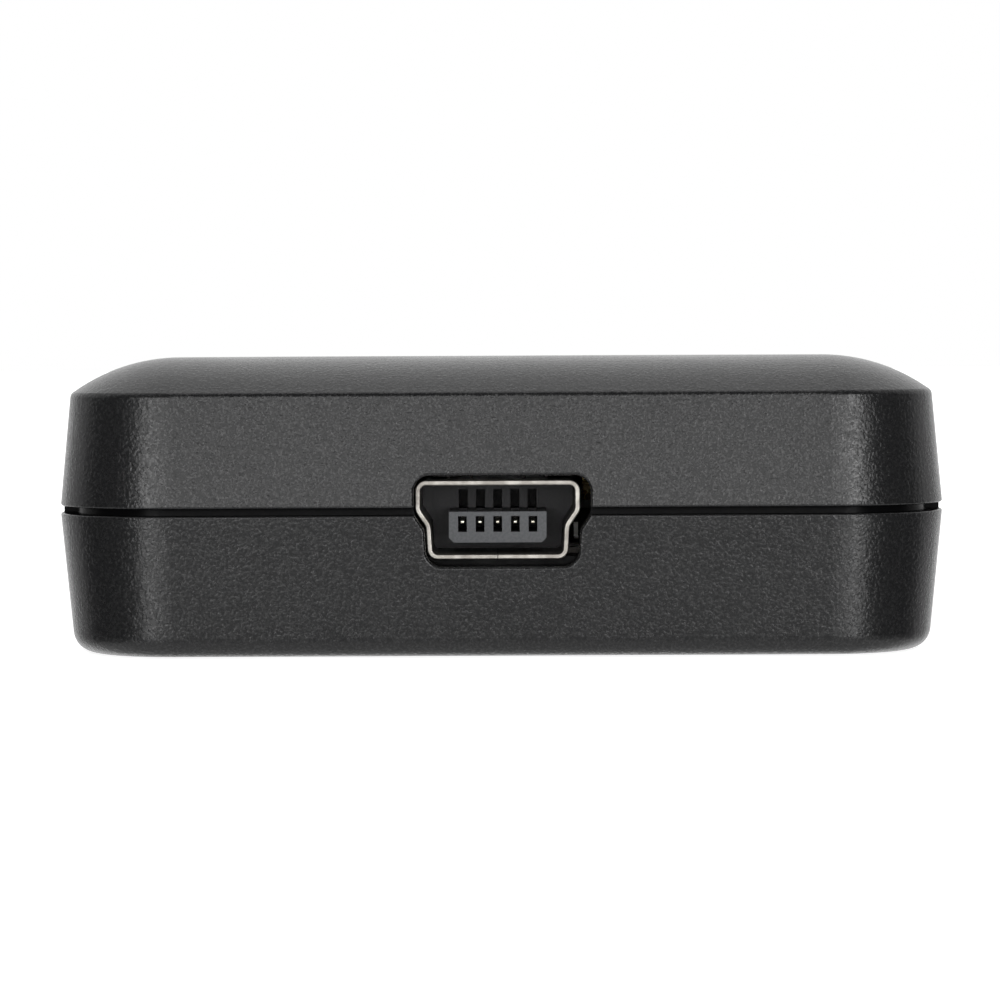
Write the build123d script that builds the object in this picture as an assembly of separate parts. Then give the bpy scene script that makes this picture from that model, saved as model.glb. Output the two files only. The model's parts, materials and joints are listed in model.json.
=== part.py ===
from build123d import *
from math import radians, sqrt, tan
import os

# ------------------------------------------------------------------ driving dimensions, millimetres
# X runs across the box, Y from the USB end (-Y) to the probe end (+Y), Z up from the underside.

# housing
LENGTH = 60.0           # at the seam, where the box is largest
WIDTH = 40.9
HEIGHT = 13.6
SEAM_Z = 6.62           # middle of the shadow gap
SEAM_GAP = 0.32
DRAFT = 5.5             # degrees, both halves narrow away from the seam
CORNER_R = 5.6          # plan corners at the seam
WALL = 1.7
FLOOR_T = 1.5
CEILING_T = 1.6
CROWN_R = 8.5           # rounding of the top towards all four sides
CROWN_DROP = 1.68       # height lost from the flat top to the edge of the sides
EDGE_R = 0.3            # small radius where the crown meets the sides
BOTTOM_R = 1.0
RIM_R = 0.1             # edges at the shadow gap
OPENING_R = 0.12        # edges round the openings in the end walls
FLOOR_FILLET = 0.7

# lip of the bottom cover in the rebate of the top cover
LIP_INSET = 0.72
LIP_HEIGHT = 1.0
LIP_PLAY = 0.08
LIP_DRAFT = 5.0         # degrees
LIP_ROOT = 0.6          # how far it reaches down into the cover's wall
SPACER_INSET = 0.12     # spacers between the covers, where the corners meet the long sides
SPACER_L = 1.2

# circuit board
BOARD_W = 36.2
BOARD_L = 54.2
BOARD_Y = 0.5
BOARD_T = 1.6
BOARD_TOP = 4.4
BOARD_CORNER_R = 3.0

# housing screws, self-tapping, from the underside
SCREW_X = 16.0
SCREW_Y = 25.3
BOSS_R = 2.8
PILLAR_PLAY = 0.4       # between the pillars' lower ends and the bottom cover's wall
SCREW_R = 1.0
SCREW_TIP_Z = 8.3
SCREW_HEAD_R = 1.9
SCREW_HEAD_H = 1.0
SCREW_HEAD_R_EDGE = 0.45  # rounding of the head's rim
SCREW_POINT = 0.6       # bevel at the tip
SCREW_SEAT_Z = 1.4      # underside of the screw head's bearing face
RECESS_R = 2.15
CLEARANCE_R = 1.2
PILOT_R = 1.02
PILOT_TOP_Z = 9.3
DRIVE_W = 0.42          # cross recess
DRIVE_L = 1.9
DRIVE_DEPTH = 0.6

# ribs: rests under the board, hold-downs over the USB shell
REST_YS = (-21.0, 12.5)
REST_L = 14.0
REST_T = 1.2
HOLD_DOWN_XS = (-2.6, 2.6)
HOLD_DOWN_YS = (-27.0, -21.0)
HOLD_DOWN_PLAY = 0.07

# label and light pipe in the top face
LABEL_W = 27.0
LABEL_L = 38.0
LABEL_Y = 3.0
LABEL_T = 0.2
LABEL_R = 2.5
RECESS_DEPTH = 0.3
RECESS_PLAY = 0.1
PIPE_X = 9.0
PIPE_Y = -20.0
PIPE_R = 1.0
PIPE_FLANGE_R = 1.7
PIPE_FLANGE_T = 0.8
PIPE_END_LIFT = 1.22     # above the board
PIPE_PLAY = 0.03
PIPE_SINK = 0.05
PIPE_TOP_R = 0.3

# USB Mini-B receptacle
USB_X = -0.18           # it is soldered slightly off the centre of its cutout
USB_CUTOUT_X = 0.03
USB_CUTOUT_DROP = 0.02
USB_MOUTH_Y = -28.9     # behind the end face
USB_DEPTH = 9.2
USB_HEIGHT = 3.6
USB_HALF_WIDE = 3.74    # upper, wide part
USB_HALF_NARROW = 3.26  # lower, narrow part
USB_HALF_FOOT = 3.18
USB_SHOULDER_TOP = 2.19  # above the board
USB_SHOULDER_LOW = 1.49
USB_BENDS = [0.5, 0.6, 0.5, 0.5]  # outer radii from the wide corner down to the foot
USB_SHEET = 0.25
USB_LIP_R = 0.07         # rounded edge of the sheet at the mouth
USB_SEAM_W = 0.03       # folded seam in the foot
USB_CUTOUT_PLAY = 0.26
TONGUE_W = 4.43
TONGUE_T = 1.4
TONGUE_LIFT = 0.74      # underside above the board
TONGUE_SETBACK = 0.6
TONGUE_CHAMFER = 0.22
REAR_WALL_Y = -24.0
CONTACT_PITCH = 0.8
CONTACT_COUNT = 5
CONTACT_W = 0.2
CONTACT_T = 0.16
CONTACT_TIP_R = 0.06
CONTACT_LEVEL = 0.62    # height of a contact in its slot, as a share of the slot
SLOT_W = 0.4
SLOT_T = 0.72
SLOT_LIFT = 1.22        # underside of the slots above the board
CHANNEL_W = 0.42
CHANNEL_LOW = 2.1
CHANNEL_HIGH = 3.0
CHANNEL_D = 2.4
NOSE_L = 0.5            # closed end of the tongue
CONTACT_SETBACK = 0.25
CONTACT_TAIL = 0.5
CONTACT_FOOT = 0.6

USB_TAB_W = 1.6         # solder tabs along Y
USB_TAB_REACH = 0.6
USB_TAB_Y = (-23.2, -20.7)
USB_SPRING_X = 1.75
USB_SPRING_W = 0.9
USB_SPRING_Y = (-26.4, -22.8)
USB_SPRING_CUT = 0.15

# probe header, two rows of five, 2.54 mm pitch
HEADER_PITCH = 2.54
HEADER_COLUMNS = 5
HEADER_FACE_Y = 23.24
HEADER_T = 2.54
PIN_W = 0.64
PIN_TIP_Y = 29.2
PIN_TAIL_Z = 1.7
PIN_HOLE_R = 0.5
PIN_BEVEL = 0.18
PIN_BEND_R = 0.38
NOTCH = 0.55
WINDOW_W = 13.3
WINDOW_DROP = 0.18      # lower edge below the board's top
WINDOW_LIFT = 5.32      # upper edge above it
WINDOW_R = 0.5
CUTOUT_REACH = 4.0      # depth to which the end walls are opened

# parts on the board
LEAD_T = 0.15           # sheet thickness of chip leads
STANDOFF = 0.1          # moulded packages above the board
PACKAGE_CHAMFER = 0.12
CAP_T = 0.3             # end caps of chip parts
DIMPLE_INSET = 0.6      # pin-one dimple, from the package's sides
DIMPLE_R = 0.2
DIMPLE_DEPTH = 0.06
COAT_SETBACK = 0.03     # body of a chip part, below and beside its end caps
ARRAY_XS = (-3.0, 3.0)  # resistor arrays
ARRAY_Y = 11.0
ARRAY_L = 3.2
ARRAY_W = 1.3
ARRAY_T = 0.5
ARRAY_PITCH = 0.8
ARRAY_COUNT = 4
ARRAY_CAP_W = 0.45
TANTALUM_L = 3.5
TANTALUM_W = 2.8
TANTALUM_H = 1.9
TANTALUM_LEAD_W = 2.2
TANTALUM_LEAD_H = 1.2
CONTROLLER_W = 10.0
CONTROLLER_H = 1.4
CONTROLLER_Y = -6.0
CRYSTAL_X = 11.5
CRYSTAL_Y = -1.0
CRYSTAL_L = 11.0
CRYSTAL_W = 4.5
CRYSTAL_H = 3.2
CRYSTAL_BASE_T = 0.6
CRYSTAL_FLANGE = 0.4    # flange beyond the can, each way
CRYSTAL_FLANGE_T = 0.3
CRYSTAL_LEAD_W = 0.8
CRYSTAL_LEAD_L = 1.2
CRYSTAL_LEAD_T = 0.25
TANTALUM_SPOTS = [(-11.5, -14.5), (-11.5, -10.0)]
FUSE_SPOT = (-7.0, -20.5, 90)
FERRITE_SPOT = (7.0, -16.5, 90)
CAPACITOR_SPOTS = [(-7.5, -1.5, 90), (-7.5, -5.5, 90), (-7.5, -9.5, 90), (7.3, -2.5, 90), (7.3, -6.0, 90),
                   (7.3, -9.5, 90), (-3.5, 2.0, 0), (3.5, 2.0, 0), (5.5, 6.5, 90), (11.5, -18.0, 0)]
RESISTOR_SPOTS = [(-11.5, 2.0, 0), (-11.5, 4.0, 0), (-11.5, 6.0, 0), (-5.5, 6.5, 90), (5.0, -14.5, 90),
                  (-5.0, -14.5, 90), (12.0, 8.5, 0), (12.0, 10.5, 0)]

# ------------------------------------------------------------------ values that follow from them
SEAM_LOW = SEAM_Z - SEAM_GAP / 2
SEAM_HIGH = SEAM_Z + SEAM_GAP / 2
BOARD_LOW = BOARD_TOP - BOARD_T
SLOPE = tan(radians(DRAFT))
EDGE_Z = HEIGHT - CROWN_DROP
EDGE_INSET = (EDGE_Z - SEAM_HIGH) * SLOPE
CROWN_BAND = sqrt(CROWN_R**2 - (CROWN_R - CROWN_DROP) ** 2)
CROWN_REACH = CROWN_R - CROWN_BAND - EDGE_INSET
CEILING_Z = HEIGHT - CEILING_T
SPACER_Y = LENGTH / 2 - CORNER_R
PIPE_END_Z = BOARD_TOP + PIPE_END_LIFT
HOLD_DOWN_Z = BOARD_TOP + USB_HEIGHT + HOLD_DOWN_PLAY
WINDOW_LOW_Z = BOARD_TOP - WINDOW_DROP
WINDOW_HIGH_Z = BOARD_TOP + WINDOW_LIFT
USB_REAR_Y = USB_MOUTH_Y + USB_DEPTH
TONGUE_LOW = BOARD_TOP + TONGUE_LIFT
TONGUE_HIGH = TONGUE_LOW + TONGUE_T
TONGUE_Y = USB_MOUTH_Y + TONGUE_SETBACK
SLOT_LOW = BOARD_TOP + SLOT_LIFT
SLOT_HIGH = SLOT_LOW + SLOT_T
CONTACT_XS = [USB_X + (i - (CONTACT_COUNT - 1) / 2) * CONTACT_PITCH for i in range(CONTACT_COUNT)]
ROW_ZS = [BOARD_TOP + HEADER_PITCH * (row + 0.5) for row in range(2)]
PIN_XS = [(i - (HEADER_COLUMNS - 1) / 2) * HEADER_PITCH for i in range(HEADER_COLUMNS)]
LEG_YS = [HEADER_FACE_Y - HEADER_T - HEADER_PITCH * (row + 0.5) for row in range(2)]
CORNERS = [(x, y) for x in (-SCREW_X, SCREW_X) for y in (-SCREW_Y, SCREW_Y)]
UP = (Align.CENTER, Align.CENTER, Align.MIN)
DOWNWARD = (0, 0, -1)
PAST = 1.0              # how far cuts run past the surface they start from
MERGE = 0.2             # overlap of shapes that are fused
NEAR = 0.15             # how close an edge is to the surface it is looked for on
ROUND_END_PLAY = 0.01   # corner radius under half the width, so that a straight stays


# ------------------------------------------------------------------ helpers
def block(x0, x1, y0, y1, z0, z1):
    """Box between two corners."""
    return Pos((x0 + x1) / 2, (y0 + y1) / 2, (z0 + z1) / 2) * Box(x1 - x0, y1 - y0, z1 - z0)


def brick(x, y, z, size_x, size_y, size_z):
    """Box that stands on height z, centred on x and y."""
    return Pos(x, y, z) * Box(size_x, size_y, size_z, align=UP)


def rod(x, y, radius, z0, z1):
    """Upright cylinder."""
    return Pos(x, y, z0) * Cylinder(radius, z1 - z0, align=UP)


def along_y(sketch, y0, y1):
    """Extrusion from y0 to y1 of a flat sketch whose own Y becomes Z."""
    return Pos(0, y1, 0) * extrude(Plane.XZ * sketch, y1 - y0)


def group(solids):
    """Separate solids of one node."""
    return Compound(children=[part.solid() for part in solids])


# ------------------------------------------------------------------ housing
def plan(inset, z):
    """Outline of the housing seen from above, moved inwards by inset."""
    outline = RectangleRounded(WIDTH - 2 * inset, LENGTH - 2 * inset, CORNER_R - inset)
    return Plane.XY.offset(z) * outline


def crown(shell):
    """Block whose top is rounded over towards all four sides; shell moves every face inwards."""
    radius = CROWN_R - shell
    width = WIDTH + 2 * CROWN_REACH - 2 * shell
    length = LENGTH + 2 * CROWN_REACH - 2 * shell
    body = extrude(RectangleRounded(width, length, CORNER_R + CROWN_REACH - shell), HEIGHT - shell)
    return fillet(body.edges().group_by(Axis.Z)[-1], radius)


def usb_outline(grow):
    """Mini-B outline, wide part up, moved outwards by grow; its foot is at the board's height."""
    right = [
        (USB_HALF_WIDE, USB_HEIGHT),
        (USB_HALF_WIDE, USB_SHOULDER_TOP),
        (USB_HALF_NARROW, USB_SHOULDER_LOW),
        (USB_HALF_FOOT, 0),
    ]
    left = [(-x, z) for x, z in reversed(right)]
    line = FilletPolyline(*right, *left, radius=USB_BENDS + USB_BENDS[::-1], close=True)
    outline = make_face(line)
    return Pos(0, BOARD_TOP) * (offset(outline, grow) if grow else outline)


def usb_cutout():
    opening = Pos(USB_CUTOUT_X, -USB_CUTOUT_DROP) * usb_outline(USB_CUTOUT_PLAY)
    return along_y(opening, -LENGTH / 2 - PAST, -LENGTH / 2 + CUTOUT_REACH)


def header_window():
    opening = RectangleRounded(WINDOW_W, WINDOW_HIGH_Z - WINDOW_LOW_Z, WINDOW_R)
    opening = Pos(0, (WINDOW_HIGH_Z + WINDOW_LOW_Z) / 2) * opening
    return along_y(opening, LENGTH / 2 - CUTOUT_REACH, LENGTH / 2 + PAST)


def bottom_shell():
    outer = extrude(plan(0, SEAM_LOW), SEAM_LOW, dir=DOWNWARD, taper=DRAFT)
    outer = fillet(outer.edges().group_by(Axis.Z)[0], BOTTOM_R)
    outer = fillet(outer.edges().group_by(Axis.Z)[-1], RIM_R)
    inner = extrude(plan(WALL, SEAM_LOW), SEAM_LOW - FLOOR_T, dir=DOWNWARD, taper=DRAFT)
    inner = fillet(inner.edges().group_by(Axis.Z)[0], FLOOR_FILLET)
    return outer - inner


def bottom_lip():
    """Thin wall that stands up behind the shadow gap and centres the covers, with four spacers in the gap."""
    root_z = SEAM_LOW - LIP_ROOT
    height = LIP_ROOT + SEAM_GAP + LIP_HEIGHT
    lip = extrude(plan(LIP_INSET, root_z), height, taper=LIP_DRAFT) - extrude(plan(WALL, root_z), height)
    outer_x = WIDTH / 2 - SPACER_INSET
    inner_x = WIDTH / 2 - WALL
    spacer = block(inner_x, outer_x, SPACER_Y - SPACER_L, SPACER_Y, root_z, SEAM_HIGH)
    for x_side in (False, True):
        for y_side in (False, True):
            piece = spacer.mirror(Plane.YZ) if x_side else spacer
            lip += piece.mirror(Plane.XZ) if y_side else piece
    return lip


def is_opening_edge(edge):
    """Whether an edge is where an opening in an end wall meets the outside."""
    centre = edge.center()
    depth = LENGTH / 2 - abs(centre.Y) - abs(centre.Z - SEAM_Z) * SLOPE
    from_seam = abs(centre.Z - SEAM_Z) - SEAM_GAP / 2
    return abs(depth) < NEAR and from_seam > NEAR and abs(centre.X) < WINDOW_W and edge.length < WINDOW_W


def open_end_walls(cover):
    """Cut both openings into a cover and round their outer edges slightly."""
    for opening in (usb_cutout(), header_window()):
        end_y = opening.center().Y
        cover -= opening
        rim = [edge for edge in cover.edges() if is_opening_edge(edge) and edge.center().Y * end_y > 0]
        cover = fillet(rim, OPENING_R)
    return cover


def bottom_cover():
    cover = bottom_shell() + bottom_lip()
    for x, y in CORNERS:
        cover += rod(x, y, BOSS_R, FLOOR_T / 2, BOARD_LOW)
    for y in REST_YS:
        cover += block(-REST_L / 2, REST_L / 2, y - REST_T / 2, y + REST_T / 2, FLOOR_T / 2, BOARD_LOW)
    for x, y in CORNERS:
        cover -= rod(x, y, RECESS_R, -PAST, SCREW_SEAT_Z)
        cover -= rod(x, y, CLEARANCE_R, 0, BOARD_LOW + PAST)
    return open_end_walls(cover)


def top_outer():
    outer = extrude(plan(0, SEAM_HIGH), HEIGHT - SEAM_HIGH + PAST, taper=DRAFT) & crown(0)
    rim = outer.edges().filter_by(lambda edge: abs(edge.center().Z - EDGE_Z) < EDGE_R / 2)
    outer = fillet(rim, EDGE_R)
    return fillet(outer.edges().group_by(Axis.Z)[0], RIM_R)


def pillar(x, y, outer):
    """Screw pillar of the top cover; below the seam it stays clear of the bottom cover."""
    merge_z = SEAM_HIGH + LIP_HEIGHT + LIP_PLAY
    free_part = rod(x, y, BOSS_R, BOARD_TOP, merge_z) & extrude(plan(WALL + PILLAR_PLAY, 0), HEIGHT)
    return free_part + (rod(x, y, BOSS_R, merge_z, CEILING_Z) & outer)


def top_cover():
    outer = top_outer()
    inner = extrude(plan(WALL, SEAM_HIGH), HEIGHT - SEAM_HIGH, taper=DRAFT) & crown(CEILING_T)
    cover = outer - inner
    cover -= extrude(plan(LIP_INSET - LIP_PLAY, SEAM_HIGH - PAST), PAST + LIP_HEIGHT + LIP_PLAY)
    for x in HOLD_DOWN_XS:
        cover += block(x - REST_T / 2, x + REST_T / 2, *HOLD_DOWN_YS, HOLD_DOWN_Z, CEILING_Z + MERGE)
    for x, y in CORNERS:
        cover += pillar(x, y, outer)
        cover -= rod(x, y, PILOT_R, 0, PILOT_TOP_Z)
    label_bed = RectangleRounded(LABEL_W + 2 * RECESS_PLAY, LABEL_L + 2 * RECESS_PLAY, LABEL_R + RECESS_PLAY)
    cover -= Pos(0, LABEL_Y, HEIGHT - RECESS_DEPTH) * extrude(label_bed, PAST)
    cover -= rod(PIPE_X, PIPE_Y, PIPE_R, CEILING_Z - PAST, HEIGHT + PAST)
    return open_end_walls(cover)


def housing_screw(x, y):
    """Pan-head self-tapping screw with a cross recess, head down."""
    head = rod(x, y, SCREW_HEAD_R, SCREW_SEAT_Z - SCREW_HEAD_H, SCREW_SEAT_Z)
    head = fillet(head.edges().group_by(Axis.Z)[0], SCREW_HEAD_R_EDGE)
    shank = rod(x, y, SCREW_R, SCREW_SEAT_Z - MERGE, SCREW_TIP_Z)
    shank = chamfer(shank.edges().group_by(Axis.Z)[-1], SCREW_POINT)
    screw = head + shank
    low = SCREW_SEAT_Z - SCREW_HEAD_H
    for size_x, size_y in ((DRIVE_L, DRIVE_W), (DRIVE_W, DRIVE_L)):
        screw -= brick(x, y, low - PAST, size_x, size_y, PAST + DRIVE_DEPTH)
    return screw


def housing_screws():
    return group([housing_screw(x, y) for x, y in CORNERS])


def top_label():
    sheet = extrude(RectangleRounded(LABEL_W, LABEL_L, LABEL_R), LABEL_T)
    return Pos(0, LABEL_Y, HEIGHT - RECESS_DEPTH) * sheet


def light_pipe():
    pipe = rod(PIPE_X, PIPE_Y, PIPE_R - PIPE_PLAY, PIPE_END_Z, HEIGHT - PIPE_SINK)
    pipe = fillet(pipe.edges().group_by(Axis.Z)[-1], PIPE_TOP_R)
    return pipe + rod(PIPE_X, PIPE_Y, PIPE_FLANGE_R, CEILING_Z - PIPE_FLANGE_T, CEILING_Z)


# ------------------------------------------------------------------ circuit board
def circuit_board():
    board = Pos(0, BOARD_Y, BOARD_LOW) * extrude(RectangleRounded(BOARD_W, BOARD_L, BOARD_CORNER_R), BOARD_T)
    holes = [(x, y, CLEARANCE_R) for x, y in CORNERS]
    holes += [(x, y, PIN_HOLE_R) for x in PIN_XS for y in LEG_YS]
    for x, y, radius in holes:
        board -= rod(x, y, radius, BOARD_LOW - PAST, BOARD_TOP + PAST)
    return board


# ------------------------------------------------------------------ USB Mini-B receptacle
def usb_shell():
    outline = usb_outline(0)
    tube = along_y(outline - offset(outline, -USB_SHEET), USB_MOUTH_Y, USB_REAR_Y)
    tube = fillet(tube.edges().group_by(Axis.Y)[0], USB_LIP_R)
    # folded seam at the middle of the foot
    seam_ends = (USB_MOUTH_Y - PAST, USB_REAR_Y + PAST, BOARD_TOP - PAST, BOARD_TOP + 2 * USB_SHEET)
    tube -= block(-USB_SEAM_W / 2, USB_SEAM_W / 2, *seam_ends)
    cut_low, cut_high = BOARD_TOP + USB_HEIGHT - 2 * USB_SHEET, BOARD_TOP + USB_HEIGHT + PAST
    y0, y1 = USB_SPRING_Y
    for side in (-1, 1):
        middle = side * USB_SPRING_X
        low, high = middle - USB_SPRING_W / 2, middle + USB_SPRING_W / 2
        # slots on three sides of each spring finger
        tube -= block(low - USB_SPRING_CUT, low, y0 - USB_SPRING_CUT, y1, cut_low, cut_high)
        tube -= block(high, high + USB_SPRING_CUT, y0 - USB_SPRING_CUT, y1, cut_low, cut_high)
        tube -= block(low, high, y0 - USB_SPRING_CUT, y0, cut_low, cut_high)
        for y in USB_TAB_Y:
            reach = sorted((side * (USB_HALF_FOOT - 2 * USB_SHEET), side * (USB_HALF_WIDE + USB_TAB_REACH)))
            tube += block(*reach, y - USB_TAB_W / 2, y + USB_TAB_W / 2, BOARD_TOP, BOARD_TOP + USB_SHEET)
    return Pos(USB_X, 0, 0) * tube


def usb_contact_path(x, width, thick):
    """Contact from its tip in the tongue, back through the rear wall and down to its pad."""
    middle = SLOT_LOW + SLOT_T * CONTACT_LEVEL
    low, high = middle - thick / 2, middle + thick / 2
    tail = USB_REAR_Y + CONTACT_TAIL
    sides = (x - width / 2, x + width / 2)
    bar = block(*sides, TONGUE_Y + CONTACT_SETBACK, tail, low, high)
    bar = fillet(bar.faces().sort_by(Axis.Y)[0].edges(), CONTACT_TIP_R)
    leg = block(*sides, tail - thick, tail, BOARD_TOP, high)
    foot = block(*sides, tail - thick, tail + CONTACT_FOOT, BOARD_TOP, BOARD_TOP + thick)
    return bar + leg + foot


def usb_contact(index):
    return usb_contact_path(CONTACT_XS[index], CONTACT_W, CONTACT_T)


def usb_insulator():
    half = TONGUE_W / 2
    nose = TONGUE_CHAMFER
    section = make_face(
        Polyline(
            (-half, TONGUE_HIGH),
            (half, TONGUE_HIGH),
            (half, TONGUE_LOW + nose),
            (half - nose, TONGUE_LOW),
            (-half + nose, TONGUE_LOW),
            (-half, TONGUE_LOW + nose),
            close=True,
        )
    )
    tongue = Pos(USB_X, 0, 0) * along_y(section, TONGUE_Y, REAR_WALL_Y + MERGE)
    filling = offset(usb_outline(0), -USB_SHEET)
    rear = Pos(USB_X, 0, 0) * along_y(filling, REAR_WALL_Y, USB_REAR_Y)
    body = tongue + rear
    for x in CONTACT_XS:
        left, right = x - SLOT_W / 2, x + SLOT_W / 2
        # slot in the tongue's end, window in its top behind the nose, channel in the rear wall
        body -= block(left, right, TONGUE_Y - PAST, REAR_WALL_Y, SLOT_LOW, SLOT_HIGH)
        body -= block(left, right, TONGUE_Y + NOSE_L, REAR_WALL_Y, SLOT_LOW, TONGUE_HIGH + PAST)
        low, high = BOARD_TOP + CHANNEL_LOW, BOARD_TOP + CHANNEL_HIGH
        depth = (REAR_WALL_Y - MERGE, REAR_WALL_Y + CHANNEL_D)
        body -= block(x - CHANNEL_W / 2, x + CHANNEL_W / 2, *depth, low, high)
        body -= usb_contact_path(x, CONTACT_W, CONTACT_T)
    return body


# ------------------------------------------------------------------ probe header
def header_insulator():
    width = HEADER_COLUMNS * HEADER_PITCH
    height = 2 * HEADER_PITCH
    low = BOARD_TOP
    y0 = HEADER_FACE_Y - HEADER_T
    body = block(-width / 2, width / 2, y0, HEADER_FACE_Y, low, low + height)
    # notches between the positions, and the bores that grip the pins
    for i in range(HEADER_COLUMNS + 1):
        x = -width / 2 + i * HEADER_PITCH
        for z in (low, low + height):
            notch = Pos(x, (y0 + HEADER_FACE_Y) / 2, z) * Rot(0, 45, 0) * Box(NOTCH, HEADER_T + PAST, NOTCH)
            body -= notch
    for x in PIN_XS:
        for z in ROW_ZS:
            body -= pin_bar(x, z, y0 - PAST, HEADER_FACE_Y + PAST)
    return body


def pin_bar(x, z, y0, y1):
    return block(x - PIN_W / 2, x + PIN_W / 2, y0, y1, z - PIN_W / 2, z + PIN_W / 2)


def header_pin(column, row):
    """Square pin: level through the insulator, bent down behind it into the board."""
    x, z, leg_y = PIN_XS[column], ROW_ZS[row], LEG_YS[row]
    bar = pin_bar(x, z, leg_y - PIN_W / 2, PIN_TIP_Y)
    bar = chamfer(bar.faces().sort_by(Axis.Y)[-1].edges(), PIN_BEVEL)
    leg = block(x - PIN_W / 2, x + PIN_W / 2, leg_y - PIN_W / 2, leg_y + PIN_W / 2, PIN_TAIL_Z, z + PIN_W / 2)
    pin = bar + leg
    bend = [e for e in pin.edges().filter_by(Axis.X) if e.center().Z > z and e.center().Y < leg_y]
    return fillet(bend, PIN_BEND_R)


# ------------------------------------------------------------------ parts on the board
def package(x, y, size_x, size_y, height):
    """Moulded chip body with bevelled rims, a little above the board."""
    body = brick(x, y, BOARD_TOP + STANDOFF, size_x, size_y, height)
    body = chamfer(body.edges().filter_by(Axis.Z, reverse=True), PACKAGE_CHAMFER)
    # pin-one dimple
    top = BOARD_TOP + STANDOFF + height
    dimple_x, dimple_y = x - size_x / 2 + DIMPLE_INSET, y + size_y / 2 - DIMPLE_INSET
    return body - rod(dimple_x, dimple_y, DIMPLE_R, top - DIMPLE_DEPTH, top + PAST)


def gull_lead(reach, width, shoulder):
    """Lead that leaves a package at y = 0 towards +Y, steps down and ends flat on the board."""
    knee = reach * 0.45
    path = Polyline(
        (0, shoulder),
        (knee, shoulder),
        (knee, LEAD_T),
        (reach, LEAD_T),
        (reach, 0),
        (knee - LEAD_T, 0),
        (knee - LEAD_T, shoulder - LEAD_T),
        (0, shoulder - LEAD_T),
        close=True,
    )
    side = extrude(Plane.YZ * make_face(path), width / 2, both=True)
    return Pos(0, 0, BOARD_TOP) * side


def lead_row(x, y, turn, half_body, count, pitch, width, reach, height):
    """Row of gull-wing leads on the side of a package that faces the direction turn (degrees from +Y)."""
    lead = gull_lead(reach, width, STANDOFF + height / 2)
    start = -(count - 1) / 2 * pitch
    spots = [Pos(x, y) * Rot(0, 0, turn) * Pos(start + i * pitch, half_body) for i in range(count)]
    return [spot * lead for spot in spots]


def controller():
    """Square chip with sixteen leads on each side."""
    lead = dict(count=16, pitch=0.5, width=0.22, reach=1.0, height=CONTROLLER_H)
    rows = [lead_row(0, CONTROLLER_Y, turn, CONTROLLER_W / 2, **lead) for turn in (0, 90, 180, 270)]
    return package(0, CONTROLLER_Y, CONTROLLER_W, CONTROLLER_W, CONTROLLER_H), group(sum(rows, []))


def dual_row_chip(x, y, length, breadth, height, count, pitch, width, reach):
    rows = [lead_row(x, y, turn, breadth / 2, count, pitch, width, reach, height) for turn in (0, 180)]
    return package(x, y, length, breadth, height), group(sum(rows, []))


def regulator():
    """Voltage regulator with three leads on one side and its cooling tab on the other."""
    length, breadth, height = 6.5, 3.5, 1.6
    x, y = 11.5, -13.5
    leads = lead_row(x, y, 180, breadth / 2, count=3, pitch=2.3, width=0.7, reach=1.75, height=height)
    leads += lead_row(x, y, 0, breadth / 2, count=1, pitch=0, width=3.0, reach=1.75, height=height)
    return package(x, y, length, breadth, height), group(leads)


def crystal():
    """Low-profile quartz crystal on its base plate."""
    x, y = CRYSTAL_X, CRYSTAL_Y
    base_w, base_l = CRYSTAL_W + 0.4, CRYSTAL_L + 0.6
    base = brick(x, y, BOARD_TOP, base_w, base_l, CRYSTAL_BASE_T)
    base = chamfer(base.edges().filter_by(Axis.Z), 0.7)
    can_w, can_l = CRYSTAL_W - 2 * CRYSTAL_FLANGE, CRYSTAL_L - 2 * CRYSTAL_FLANGE
    can = extrude(RectangleRounded(can_w, can_l, can_w / 2 - ROUND_END_PLAY), CRYSTAL_H)
    can = fillet(can.edges().group_by(Axis.Z)[-1], 0.5)
    flange = extrude(RectangleRounded(CRYSTAL_W, CRYSTAL_L, CRYSTAL_W / 2 - ROUND_END_PLAY), CRYSTAL_FLANGE_T)
    lead_y = base_l / 2 + CRYSTAL_LEAD_L / 2
    lead_size = (CRYSTAL_LEAD_W, CRYSTAL_LEAD_L, CRYSTAL_LEAD_T)
    leads = [brick(x, y + side * lead_y, BOARD_TOP, *lead_size) for side in (-1, 1)]
    return base, Pos(x, y, BOARD_TOP + CRYSTAL_BASE_T) * (can + flange), group(leads)


def chip_part(x, y, turn, length, breadth, height):
    """Two-terminal chip part: body and its two end caps."""
    place = Pos(x, y, BOARD_TOP) * Rot(0, 0, turn)
    inner = length / 2 - CAP_T
    body = place * block(-inner, inner, -breadth / 2, breadth / 2, COAT_SETBACK, height - COAT_SETBACK)
    ends = (block(-length / 2, -inner, -breadth / 2, breadth / 2, 0, height),
            block(inner, length / 2, -breadth / 2, breadth / 2, 0, height))
    caps = [place * end for end in ends]
    return body, caps


def chip_parts(spots, length, breadth, height):
    """Node of bodies and node of end caps for alike chip parts at (x, y, turn)."""
    pairs = [chip_part(x, y, turn, length, breadth, height) for x, y, turn in spots]
    return group([body for body, caps in pairs]), group([cap for body, caps in pairs for cap in caps])


def resistor_arrays():
    """Two four-way resistor arrays between the header and the buffer."""
    bodies = [brick(x, ARRAY_Y, BOARD_TOP + COAT_SETBACK, ARRAY_L, ARRAY_W, ARRAY_T) for x in ARRAY_XS]
    cap_size = (ARRAY_CAP_W, CAP_T, ARRAY_T + 2 * COAT_SETBACK)
    cap_y = (ARRAY_W + CAP_T) / 2
    caps = []
    for x in ARRAY_XS:
        for i in range(ARRAY_COUNT):
            cap_x = x + (i - (ARRAY_COUNT - 1) / 2) * ARRAY_PITCH
            caps += [brick(cap_x, ARRAY_Y + side * cap_y, BOARD_TOP, *cap_size) for side in (-1, 1)]
    return group(bodies), group(caps)


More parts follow.
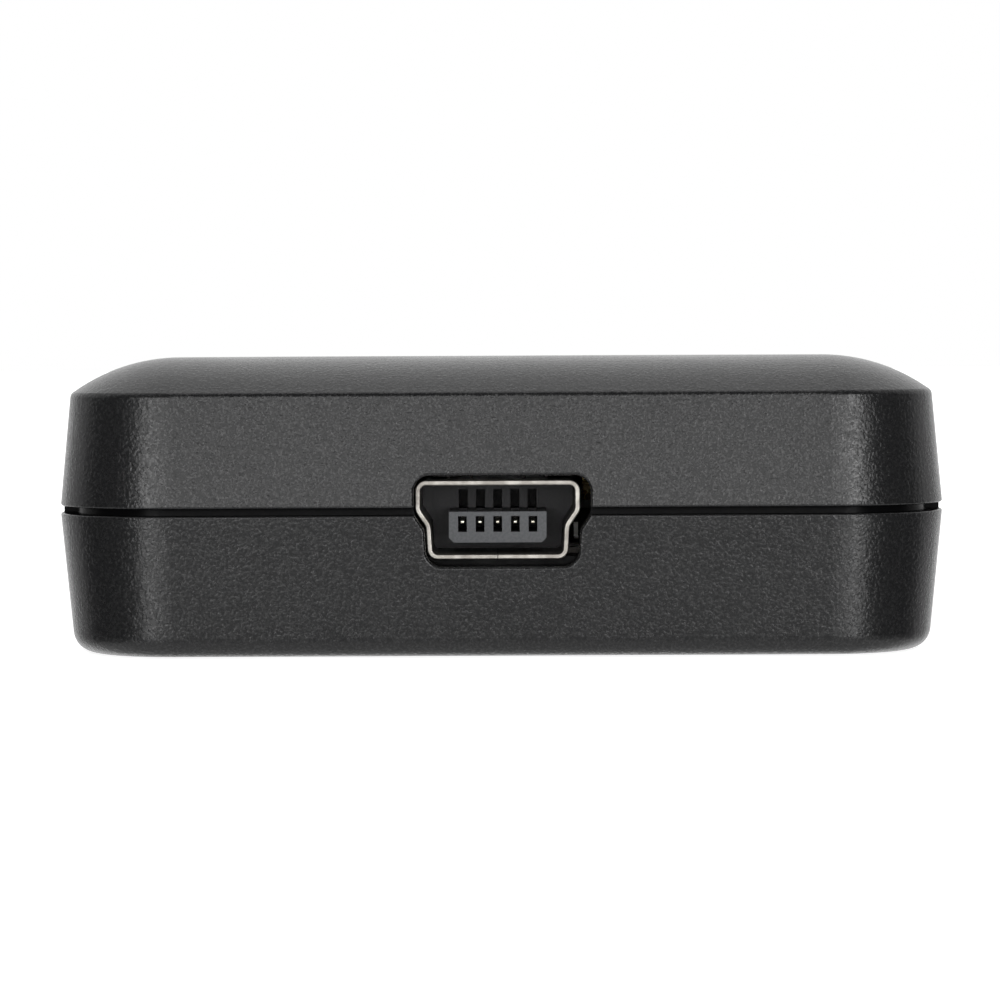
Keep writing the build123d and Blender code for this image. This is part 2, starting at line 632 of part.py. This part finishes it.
def tantalum_capacitors():
    bodies = []
    leads = []
    for x, y in TANTALUM_SPOTS:
        bodies.append(package(x, y, TANTALUM_L, TANTALUM_W, TANTALUM_H))
        for side in (-1, 1):
            lead_x = x + side * (TANTALUM_L + LEAD_T) / 2
            leads.append(brick(lead_x, y, BOARD_TOP, LEAD_T, TANTALUM_LEAD_W, TANTALUM_LEAD_H))
    return group(bodies), group(leads)


# ------------------------------------------------------------------ all nodes
def nodes():
    parts = {
        "bottom_cover": bottom_cover(),
        "top_cover": top_cover(),
        "housing_screws": housing_screws(),
        "top_label": top_label(),
        "light_pipe": light_pipe(),
        "circuit_board": circuit_board(),
        "usb_shell": usb_shell(),
        "usb_insulator": usb_insulator(),
        "header_insulator": header_insulator(),
    }
    for index in range(CONTACT_COUNT):
        parts[f"usb_contact_{index + 1}"] = usb_contact(index)
    number = 0
    for column in range(HEADER_COLUMNS):
        for row in range(2):
            number += 1
            parts[f"header_pin_{number:02d}"] = header_pin(column, row)
    parts["controller_package"], parts["controller_leads"] = controller()
    parts["buffer_package"], parts["buffer_leads"] = dual_row_chip(
        0, 6.5, length=6.5, breadth=4.4, height=1.0, count=10, pitch=0.65, width=0.25, reach=1.0)
    parts["memory_package"], parts["memory_leads"] = dual_row_chip(
        -11.5, -3, length=4.9, breadth=3.9, height=1.5, count=4, pitch=1.27, width=0.42, reach=1.05)
    parts["esd_array"], parts["esd_array_leads"] = dual_row_chip(
        -0.2, -15.2, length=2.9, breadth=1.6, height=1.1, count=3, pitch=0.95, width=0.35, reach=0.6)
    parts["regulator_package"], parts["regulator_leads"] = regulator()
    parts["crystal_base"], parts["crystal_can"], parts["crystal_leads"] = crystal()
    parts["resistor_arrays"], parts["resistor_array_caps"] = resistor_arrays()
    parts["tantalum_capacitors"], parts["tantalum_capacitor_leads"] = tantalum_capacitors()
    # name of the bodies, name of their end caps, places, then length, breadth and height
    alike = (
        ("chip_capacitors", "chip_capacitor_caps", CAPACITOR_SPOTS, 1.6, 0.8, 0.8),
        ("chip_resistors", "chip_resistor_caps", RESISTOR_SPOTS, 1.6, 0.8, 0.5),
        ("resettable_fuse", "resettable_fuse_caps", [FUSE_SPOT], 3.2, 1.6, 0.8),
        ("ferrite_bead", "ferrite_bead_caps", [FERRITE_SPOT], 2.0, 1.25, 0.9),
        ("status_led", "status_led_caps", [(PIPE_X, PIPE_Y, 0)], 2.0, 1.25, 0.8),
    )
    for bodies, caps, spots, *size in alike:
        parts[bodies], parts[caps] = chip_parts(spots, *size)
    return parts


os.makedirs("parts", exist_ok=True)
for node, shape in nodes().items():
    export_step(shape, f"parts/{node}.step")
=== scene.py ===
import json
import math

import bpy
from mathutils import Matrix, Vector


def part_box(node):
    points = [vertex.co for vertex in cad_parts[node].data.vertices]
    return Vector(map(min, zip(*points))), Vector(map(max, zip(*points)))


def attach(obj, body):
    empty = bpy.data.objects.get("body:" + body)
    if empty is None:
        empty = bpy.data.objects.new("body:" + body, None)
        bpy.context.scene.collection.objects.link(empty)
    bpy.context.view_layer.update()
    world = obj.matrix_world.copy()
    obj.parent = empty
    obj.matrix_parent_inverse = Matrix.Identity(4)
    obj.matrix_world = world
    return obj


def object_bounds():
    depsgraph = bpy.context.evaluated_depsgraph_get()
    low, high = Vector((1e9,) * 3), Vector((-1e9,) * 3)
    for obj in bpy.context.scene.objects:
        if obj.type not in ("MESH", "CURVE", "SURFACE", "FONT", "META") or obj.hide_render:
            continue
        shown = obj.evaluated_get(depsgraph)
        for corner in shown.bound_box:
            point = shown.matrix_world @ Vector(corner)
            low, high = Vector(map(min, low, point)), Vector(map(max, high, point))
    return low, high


# ------------------------------------------------------------------ frame and sizes, in metres
MM = 0.001
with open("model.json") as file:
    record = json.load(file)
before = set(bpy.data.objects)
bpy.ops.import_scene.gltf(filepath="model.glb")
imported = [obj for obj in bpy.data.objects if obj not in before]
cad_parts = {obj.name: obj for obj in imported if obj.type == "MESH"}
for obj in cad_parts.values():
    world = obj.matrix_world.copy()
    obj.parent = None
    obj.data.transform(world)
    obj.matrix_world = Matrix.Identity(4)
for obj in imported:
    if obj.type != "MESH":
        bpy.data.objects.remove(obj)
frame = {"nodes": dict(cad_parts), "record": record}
cad_low, cad_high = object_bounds()
scene = bpy.context.scene
nodes = frame["nodes"]
front_y = cad_low.y
top_z = cad_high.z
label_low, label_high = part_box("top_label")
SEAM_Z = 6.62 * MM              # middle of the shadow gap
SEAM_HALF = 0.16 * MM

# housing texture: feature sizes, and the height of its relief
GRAIN_SIZE = 0.14 * MM
PIT_SIZE = 0.3 * MM
GLINT_SIZE = 0.1 * MM
CLOUD_SIZE = 5 * MM
RELIEF = 0.01 * MM

# camera: close to the end face, level with the top of the box
CAMERA_DISTANCE = 150 * MM
CAMERA_X = -0.07 * MM
CAMERA_Z = top_z + 0.02 * MM
AIM_Z = 7.14 * MM
PICTURE_WIDTH = 44.84 * MM      # at the end face
ROLL = math.radians(-0.27)
SENSOR = 36.0

# stage
FLOOR_HALF = 3.0
FLOOR_GAP = 0.02 * MM           # keeps the floor out of the underside's plane
LAMP_DISTANCE = 0.7
LAMP_ROWS = (("upper", 9, 28), ("lower", -15, 20))  # name, elevation and height in degrees
LAMP_STRIPS = (
    # name, azimuth and width in degrees, radiance of the upper and of the lower row
    ("front", 0.5, 76, 2.05, 0.46),
    ("front_left", -29, 13, 2.5, 3.1),
    ("front_right", 30, 13, 4.0, 3.3),
)


# ------------------------------------------------------------------ node helpers
def new_material(name):
    material = bpy.data.materials.new(name)
    material.use_nodes = True
    tree = material.node_tree
    return material, tree, tree.nodes["Principled BSDF"]


def add(tree, kind, **values):
    """New shader node; values are attributes, or socket values when the name is a socket's."""
    node = tree.nodes.new(kind)
    for key, value in values.items():
        if hasattr(node, key):
            setattr(node, key, value)
        else:
            node.inputs[key.replace("_", " ")].default_value = value
    return node


def object_position(tree):
    """Position in metres in the object's own frame."""
    return add(tree, "ShaderNodeTexCoord").outputs["Object"]


def axes_of(tree, vector):
    """Outputs X, Y and Z of a vector."""
    node = add(tree, "ShaderNodeSeparateXYZ")
    tree.links.new(vector, node.inputs["Vector"])
    return node.outputs


def noise(tree, size, detail=2.0, vector=None):
    """Noise whose features are about size metres across."""
    node = add(tree, "ShaderNodeTexNoise", Scale=1.0 / size, Detail=detail, Roughness=0.5)
    tree.links.new(vector or object_position(tree), node.inputs["Vector"])
    return node.outputs["Fac"]


def ramp(tree, value, low, high, out_low, out_high):
    """Smooth map of a value from one range to another, clamped."""
    node = add(tree, "ShaderNodeMapRange", interpolation_type="SMOOTHSTEP",
               From_Min=low, From_Max=high, To_Min=out_low, To_Max=out_high)
    tree.links.new(value, node.inputs["Value"])
    return node.outputs["Result"]


def math_node(tree, operation, a, b=None):
    """Arithmetic on values that are numbers or sockets."""
    node = add(tree, "ShaderNodeMath", operation=operation)
    for socket, value in zip(node.inputs, (a, b)):
        if isinstance(value, (int, float)):
            socket.default_value = value
        elif value is not None:
            tree.links.new(value, socket)
    return node.outputs["Value"]


def mix_colour(tree, factor, colour_a, colour_b):
    """Colour a where the factor is 0, colour b where it is 1; each a tuple or a socket."""
    node = add(tree, "ShaderNodeMix", data_type="RGBA")
    tree.links.new(factor, node.inputs["Factor"])
    sockets = [socket for socket in node.inputs if socket.type == "RGBA"]
    for socket, value in zip(sockets, (colour_a, colour_b)):
        if isinstance(value, tuple):
            socket.default_value = (*value, 1.0)
        else:
            tree.links.new(value, socket)
    return next(socket for socket in node.outputs if socket.type == "RGBA")


def bump(tree, shader, height, distance):
    node = add(tree, "ShaderNodeBump", Strength=1.0, Distance=distance)
    tree.links.new(height, node.inputs["Height"])
    tree.links.new(node.outputs["Normal"], shader.inputs["Normal"])


def finish_with(shader, **values):
    """Constant values set on the shader's own sockets."""
    for key, value in values.items():
        socket = shader.inputs[key.replace("_", " ")]
        socket.default_value = (*value, 1.0) if isinstance(value, tuple) else value


# ------------------------------------------------------------------ materials
def housing_plastic():
    """Black moulded plastic with a fine spark-eroded grain; smooth inside the shadow gap, where it is
    painted near black with little specular as painted shade.
    """
    material, tree, shader = new_material("housing_plastic")
    position = object_position(tree)
    grain = noise(tree, GRAIN_SIZE, vector=position)
    pits = noise(tree, PIT_SIZE, detail=1.0, vector=position)
    cloud = noise(tree, CLOUD_SIZE, detail=3.0, vector=position)
    off_seam = math_node(tree, "SUBTRACT", axes_of(tree, position)["Z"], SEAM_Z)
    off_seam = math_node(tree, "ABSOLUTE", off_seam)
    # mask: 1 on the textured outside, 0 inside the shadow gap, where shade is painted
    textured_and_unshaded = ramp(tree, off_seam, SEAM_HALF * 0.95, SEAM_HALF * 1.3, 0.0, 1.0)
    speckle = ramp(tree, grain, 0.35, 0.7, 0.0, 1.0)
    speckled = mix_colour(tree, speckle, (0.012, 0.0122, 0.0128), (0.018, 0.018, 0.0185))
    # painted shade: the colour is much darker inside the shadow gap, standing in for the shade there
    colour = mix_colour(tree, textured_and_unshaded, (0.006, 0.006, 0.0065), speckled)
    tree.links.new(colour, shader.inputs["Base Color"])
    tree.links.new(ramp(tree, cloud, 0.3, 0.7, 0.23, 0.27), shader.inputs["Roughness"])
    glints = ramp(tree, noise(tree, GLINT_SIZE, vector=position), 0.42, 0.74, 0.4, 0.7)
    # painted shade: the specular level is cut inside the shadow gap to darken it
    glossy = math_node(tree, "MULTIPLY", glints, ramp(tree, textured_and_unshaded, 0.0, 1.0, 0.1, 1.0))
    tree.links.new(glossy, shader.inputs["Specular IOR Level"])
    specks = ramp(tree, grain, 0.42, 0.78, 0.0, 1.0)
    relief = math_node(tree, "ADD", specks, math_node(tree, "MULTIPLY", pits, 0.8))
    bump(tree, shader, math_node(tree, "MULTIPLY", relief, textured_and_unshaded), RELIEF)
    finish_with(shader, IOR=1.5)
    return material


def plain(name, colour, rough, metallic=0.0, size=0.4 * MM):
    """Material with slight grain: colour and roughness vary, and the surface is faintly uneven."""
    spread, dent, tint = 0.06, 0.003 * MM, 1.25
    material, tree, shader = new_material(name)
    position = object_position(tree)
    fine = noise(tree, size, detail=3.0, vector=position)
    broad = noise(tree, size * 9, detail=2.0, vector=position)
    light = tuple(min(1.0, c * tint) for c in colour)
    dark = tuple(c / tint for c in colour)
    shade = mix_colour(tree, ramp(tree, broad, 0.3, 0.7, 0.0, 1.0), dark, light)
    tree.links.new(shade, shader.inputs["Base Color"])
    tree.links.new(ramp(tree, fine, 0.3, 0.7, rough - spread, rough + spread), shader.inputs["Roughness"])
    bump(tree, shader, fine, dent)
    finish_with(shader, Metallic=metallic)
    return material


def nickel_plate():
    """Nickel-plated sheet with mottled wear, painted darker further into the socket behind the mouth as
    painted shade.
    """
    material, tree, shader = new_material("nickel_plate")
    position = object_position(tree)
    wear = noise(tree, 0.9 * MM, vector=position)
    fine = noise(tree, 0.12 * MM, detail=3.0, vector=position)
    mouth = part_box("usb_shell")[0].y
    # painted shade: the colour darkens from the mouth inwards, standing in for shade inside the socket
    painted_shade_depth = ramp(tree, axes_of(tree, position)["Y"], mouth + 0.2 * MM, mouth + 2.5 * MM, 0.0, 1.0)
    worn = ramp(tree, wear, 0.35, 0.65, 0.0, 1.0)
    rubbed = mix_colour(tree, worn, (0.30, 0.283, 0.255), (0.50, 0.48, 0.44))
    tree.links.new(mix_colour(tree, painted_shade_depth, rubbed, (0.07, 0.066, 0.06)), shader.inputs["Base Color"])
    tree.links.new(ramp(tree, fine, 0.3, 0.7, 0.28, 0.42), shader.inputs["Roughness"])
    bump(tree, shader, fine, 0.006 * MM)
    finish_with(shader, Metallic=1.0)
    return material


def socket_resin():
    """Grey moulded resin, painted darker towards the back of the socket as painted shade."""
    material, tree, shader = new_material("socket_resin")
    position = object_position(tree)
    fine = noise(tree, 0.12 * MM, detail=3.0, vector=position)
    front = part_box("usb_insulator")[0].y
    # painted shade: the colour darkens from the tongue's front towards the back, standing in for shade in
    # the socket
    painted_shade_depth = ramp(tree, axes_of(tree, position)["Y"], front + 0.3 * MM, front + 3 * MM, 0.0, 1.0)
    mottle = ramp(tree, fine, 0.35, 0.65, 0.0, 1.0)
    mottled = mix_colour(tree, mottle, (0.082, 0.086, 0.092), (0.108, 0.112, 0.118))
    tree.links.new(mix_colour(tree, painted_shade_depth, mottled, (0.026, 0.025, 0.028)), shader.inputs["Base Color"])
    tree.links.new(ramp(tree, fine, 0.3, 0.7, 0.44, 0.56), shader.inputs["Roughness"])
    bump(tree, shader, fine, 0.004 * MM)
    return material


def clear_acrylic():
    """Clear plastic of the light pipe."""
    material, tree, shader = new_material("clear_acrylic")
    haze = ramp(tree, noise(tree, 0.3 * MM), 0.3, 0.7, 0.06, 0.14)
    tree.links.new(haze, shader.inputs["Roughness"])
    finish_with(shader, Base_Color=(0.86, 0.92, 0.88), Transmission_Weight=0.85, IOR=1.49)
    return material


MATERIALS = {
    "housing": housing_plastic(),
    "label": plain("label_overlay", (0.016, 0.017, 0.02), 0.32, size=0.25 * MM),
    "clear_acrylic": clear_acrylic(),
    "screw_steel": plain("screw_steel", (0.10, 0.10, 0.105), 0.36, metallic=1.0),
    "solder_mask": plain("solder_mask", (0.006, 0.0065, 0.007), 0.55),
    "nickel": nickel_plate(),
    "socket_resin": socket_resin(),
    "contact_plate": plain("contact_plate", (0.9, 0.84, 0.68), 0.25, metallic=1.0, size=0.2 * MM),
    "header_resin": plain("header_resin", (0.018, 0.018, 0.019), 0.42, size=0.2 * MM),
    "pin_gold": plain("pin_gold", (0.86, 0.66, 0.30), 0.24, metallic=1.0, size=0.3 * MM),
    "chip_resin": plain("chip_resin", (0.02, 0.02, 0.021), 0.55, size=0.15 * MM),
    "lead_tin": plain("lead_tin", (0.72, 0.72, 0.71), 0.35, metallic=1.0, size=0.15 * MM),
    "can_steel": plain("can_steel", (0.66, 0.66, 0.65), 0.28, metallic=1.0),
    "capacitor_ceramic": plain("capacitor_ceramic", (0.38, 0.25, 0.13), 0.45, size=0.15 * MM),
    "resistor_glaze": plain("resistor_glaze", (0.02, 0.02, 0.024), 0.3, size=0.15 * MM),
    "tantalum_resin": plain("tantalum_resin", (0.72, 0.42, 0.06), 0.45, size=0.2 * MM),
    "fuse_green": plain("fuse_green", (0.06, 0.22, 0.10), 0.4, size=0.2 * MM),
    "ferrite": plain("ferrite", (0.07, 0.07, 0.075), 0.6, size=0.15 * MM),
    "led_lens": plain("led_lens", (0.72, 0.75, 0.62), 0.2, size=0.2 * MM),
}
INK = plain("label_ink", (0.55, 0.56, 0.58), 0.5, size=0.12 * MM)


def dress_cad_nodes():
    """Each CAD node takes the material of its slot in the record."""
    for entry in frame["record"]["subparts"]:
        node = nodes[entry["node"]]
        for slot in node.material_slots:
            slot.material = MATERIALS[entry["material_slot"]]


# ------------------------------------------------------------------ printing on the label
INK_T = 0.02 * MM
LINE_W = 0.28 * MM
CHANNELS = 8
CHANNEL_PITCH = 2.54 * MM
DIGIT_SIZE = 1.9 * MM
DIGIT_INSET = 4.0 * MM          # from the label's end at the probe header
TICK_LIFT = 0.6                 # from a digit's middle to its tick, as a share of its size
TICK_L = 1.4 * MM
BIT_W = 1.8 * MM
PULSE_H = 1.7 * MM
PULSES = ("0101100110", "0011001100", "0100011101")
FRAME_INSET = 1.3 * MM


def add_ink(name, mesh):
    """Thin printed piece on top of the label."""
    piece = bpy.data.objects.new(name, mesh)
    scene.collection.objects.link(piece)
    mesh.materials.clear()
    mesh.materials.append(INK)
    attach(piece, "root")


def flat_bars(rectangles):
    """Mesh of thin bars from (x0, x1, y0, y1) rectangles that touch but don't overlap."""
    z0, z1 = label_high.z, label_high.z + INK_T
    vertices, faces = [], []
    for x0, x1, y0, y1 in rectangles:
        first = len(vertices)
        vertices += [(x, y, z) for z in (z0, z1) for x, y in ((x0, y0), (x1, y0), (x1, y1), (x0, y1))]
        sides = [(i, (i + 1) % 4, (i + 1) % 4 + 4, i + 4) for i in range(4)]
        faces += [tuple(first + i for i in face) for face in [(3, 2, 1, 0), (4, 5, 6, 7), *sides]]
    mesh = bpy.data.meshes.new("bars")
    mesh.from_pydata(vertices, [], faces)
    return mesh


def print_digits():
    """Channel numbers in line with the probe header, each with a tick above it."""
    middle_x = (label_low.x + label_high.x) / 2
    y = label_high.y - DIGIT_INSET
    ticks = []
    for channel in range(CHANNELS):
        x = middle_x + (channel - (CHANNELS - 1) / 2) * CHANNEL_PITCH
        text = bpy.data.curves.new(f"channel_number_{channel}", "FONT")
        text.body = str(channel)
        text.size = DIGIT_SIZE
        text.align_x = "CENTER"
        text.align_y = "CENTER"
        text.extrude = INK_T / 2
        holder = bpy.data.objects.new("text", text)
        mesh = bpy.data.meshes.new_from_object(holder)
        mesh.transform(Matrix.Translation((x, y, label_high.z + INK_T / 2)))
        add_ink(f"channel_number_{channel}", mesh)
        low = y + DIGIT_SIZE * TICK_LIFT
        ticks.append((x - LINE_W / 2, x + LINE_W / 2, low, low + TICK_L))
    add_ink("channel_ticks", flat_bars(ticks))


def print_pulses():
    """Three square-wave traces, as plain decoration of the label."""
    left = (label_low.x + label_high.x) / 2 - len(PULSES[0]) * BIT_W / 2
    middle_y = (label_low.y + label_high.y) / 2
    for row, bits in enumerate(PULSES):
        base = middle_y + (1 - row) * 2 * PULSE_H - PULSE_H / 2
        bars = []
        start = left
        for i, bit in enumerate(bits):
            last = i == len(bits) - 1
            if not last and bits[i + 1] == bit:
                continue
            level = base + int(bit) * PULSE_H
            step = left + (i + 1) * BIT_W
            end = step if last else step - LINE_W / 2
            bars.append((start, end, level - LINE_W / 2, level + LINE_W / 2))
            if not last:
                top = base + PULSE_H + LINE_W / 2
                bars.append((step - LINE_W / 2, step + LINE_W / 2, base - LINE_W / 2, top))
                start = step + LINE_W / 2
        add_ink(f"pulse_trace_{row + 1}", flat_bars(bars))


def print_frame():
    """Line round the printed area."""
    x0, x1 = label_low.x + FRAME_INSET, label_high.x - FRAME_INSET
    y0, y1 = label_low.y + FRAME_INSET, label_high.y - FRAME_INSET
    across = [(x0, x1, y, y + LINE_W) for y in (y0, y1 - LINE_W)]
    along = [(x, x + LINE_W, y0 + LINE_W, y1 - LINE_W) for x in (x0, x1 - LINE_W)]
    add_ink("label_frame", flat_bars(across + along))


# ------------------------------------------------------------------ stage, light and camera
def make_floor():
    """Plain pale floor that looks white; reflections and views from below look through it."""
    mesh = bpy.data.meshes.new("floor")
    corners = [(x * FLOOR_HALF, y * FLOOR_HALF, 0) for x, y in ((-1, -1), (1, -1), (1, 1), (-1, 1))]
    mesh.from_pydata(corners, [], [(0, 1, 2, 3)])
    floor = bpy.data.objects.new("floor", mesh)
    scene.collection.objects.link(floor)
    material, tree, shader = new_material("pale_floor")
    finish_with(shader, Base_Color=(0.6, 0.6, 0.6), Roughness=0.9)
    path = add(tree, "ShaderNodeLightPath").outputs
    glow = add(tree, "ShaderNodeEmission")
    strength = ramp(tree, path["Is Camera Ray"], 0.0, 1.0, 0.0, 0.9)
    tree.links.new(strength, glow.inputs["Strength"])
    both = add(tree, "ShaderNodeAddShader")
    tree.links.new(shader.outputs["BSDF"], both.inputs[0])
    tree.links.new(glow.outputs["Emission"], both.inputs[1])
    choose = add(tree, "ShaderNodeMixShader")
    below = add(tree, "ShaderNodeNewGeometry").outputs["Backfacing"]
    seen_through = math_node(tree, "MAXIMUM", path["Is Glossy Ray"], path["Is Shadow Ray"])
    seen_through = math_node(tree, "MAXIMUM", seen_through, below)
    tree.links.new(seen_through, choose.inputs["Fac"])
    tree.links.new(both.outputs["Shader"], choose.inputs[1])
    tree.links.new(add(tree, "ShaderNodeBsdfTransparent").outputs["BSDF"], choose.inputs[2])
    tree.links.new(choose.outputs["Shader"], tree.nodes["Material Output"].inputs["Surface"])
    mesh.materials.append(material)
    floor.location.z = cad_low.z - FLOOR_GAP


def make_world():
    """White to the camera; as light it is bright behind, overhead and far below, dark in front."""
    world = bpy.data.worlds.new("studio")
    world.use_nodes = True
    scene.world = world
    tree = world.node_tree
    light = tree.nodes["Background"]
    direction = axes_of(tree, add(tree, "ShaderNodeTexCoord").outputs["Generated"])
    raised = math_node(tree, "MULTIPLY", direction["Z"], 0.55)
    behind = ramp(tree, math_node(tree, "ADD", direction["Y"], raised), 0.1, 0.4, 0.03, 1.12)
    sideways = math_node(tree, "ABSOLUTE", direction["X"])
    behind = math_node(tree, "MULTIPLY", behind, ramp(tree, sideways, 0.35, 0.9, 1.0, 0.45))
    downward = math_node(tree, "MULTIPLY", direction["Z"], -1.0)
    below = ramp(tree, downward, 0.3, 0.65, 0.0, 0.75)
    tree.links.new(math_node(tree, "ADD", behind, below), light.inputs["Strength"])
    white = add(tree, "ShaderNodeBackground")
    for background in (light, white):
        background.inputs["Color"].default_value = (1, 1, 1, 1)
    white.inputs["Strength"].default_value = 1.0
    path = add(tree, "ShaderNodeLightPath")
    choose = add(tree, "ShaderNodeMixShader")
    tree.links.new(path.outputs["Is Camera Ray"], choose.inputs["Fac"])
    tree.links.new(light.outputs["Background"], choose.inputs[1])
    tree.links.new(white.outputs["Background"], choose.inputs[2])
    tree.links.new(choose.outputs["Shader"], tree.nodes["World Output"].inputs["Surface"])


def softbox(name, azimuth, elevation, width, height, radiance):
    """Rectangular lamp seen from the end face in that direction, with angles in degrees.

    Azimuth 0 is straight in front, and negative to the left.
    """
    a, e = math.radians(azimuth), math.radians(elevation)
    away = Vector((math.sin(a) * math.cos(e), -math.cos(a) * math.cos(e), math.sin(e)))
    lamp = bpy.data.lights.new(name, "AREA")
    lamp.shape = "RECTANGLE"
    lamp.size = 2 * LAMP_DISTANCE * math.tan(math.radians(width) / 2)
    lamp.size_y = 2 * LAMP_DISTANCE * math.tan(math.radians(height) / 2)
    lamp.energy = radiance * math.pi * lamp.size * lamp.size_y
    holder = bpy.data.objects.new(name, lamp)
    holder.location = Vector((0, front_y, SEAM_Z)) + away * LAMP_DISTANCE
    holder.rotation_euler = away.to_track_quat("Z", "Y").to_euler()
    holder.visible_camera = False
    scene.collection.objects.link(holder)


def make_lights():
    """One wide softbox in front, dimmer lower down, with a bright strip near each end."""
    for name, azimuth, width, *radiances in LAMP_STRIPS:
        for (row, elevation, height), radiance in zip(LAMP_ROWS, radiances):
            softbox(f"{name}_{row}", azimuth, elevation, width, height, radiance)


def make_camera():
    """Camera in front of the end face, turned slightly about its own axis."""
    data = bpy.data.cameras.new("camera")
    camera = bpy.data.objects.new("camera", data)
    scene.collection.objects.link(camera)
    camera.location = (CAMERA_X, front_y - CAMERA_DISTANCE, CAMERA_Z)
    aim = Vector((CAMERA_X, front_y, AIM_Z)) - camera.location
    camera.rotation_euler = aim.to_track_quat("-Z", "Y").to_euler()
    camera.rotation_euler.rotate_axis("Z", ROLL)
    data.sensor_width = SENSOR
    data.lens = SENSOR * aim.length / PICTURE_WIDTH
    data.clip_start = 1 * MM
    data.clip_end = 20
    scene.camera = camera


dress_cad_nodes()
print_digits()
print_pulses()
print_frame()
make_floor()
make_world()
make_lights()
make_camera()
scene.view_settings.view_transform = "Standard"
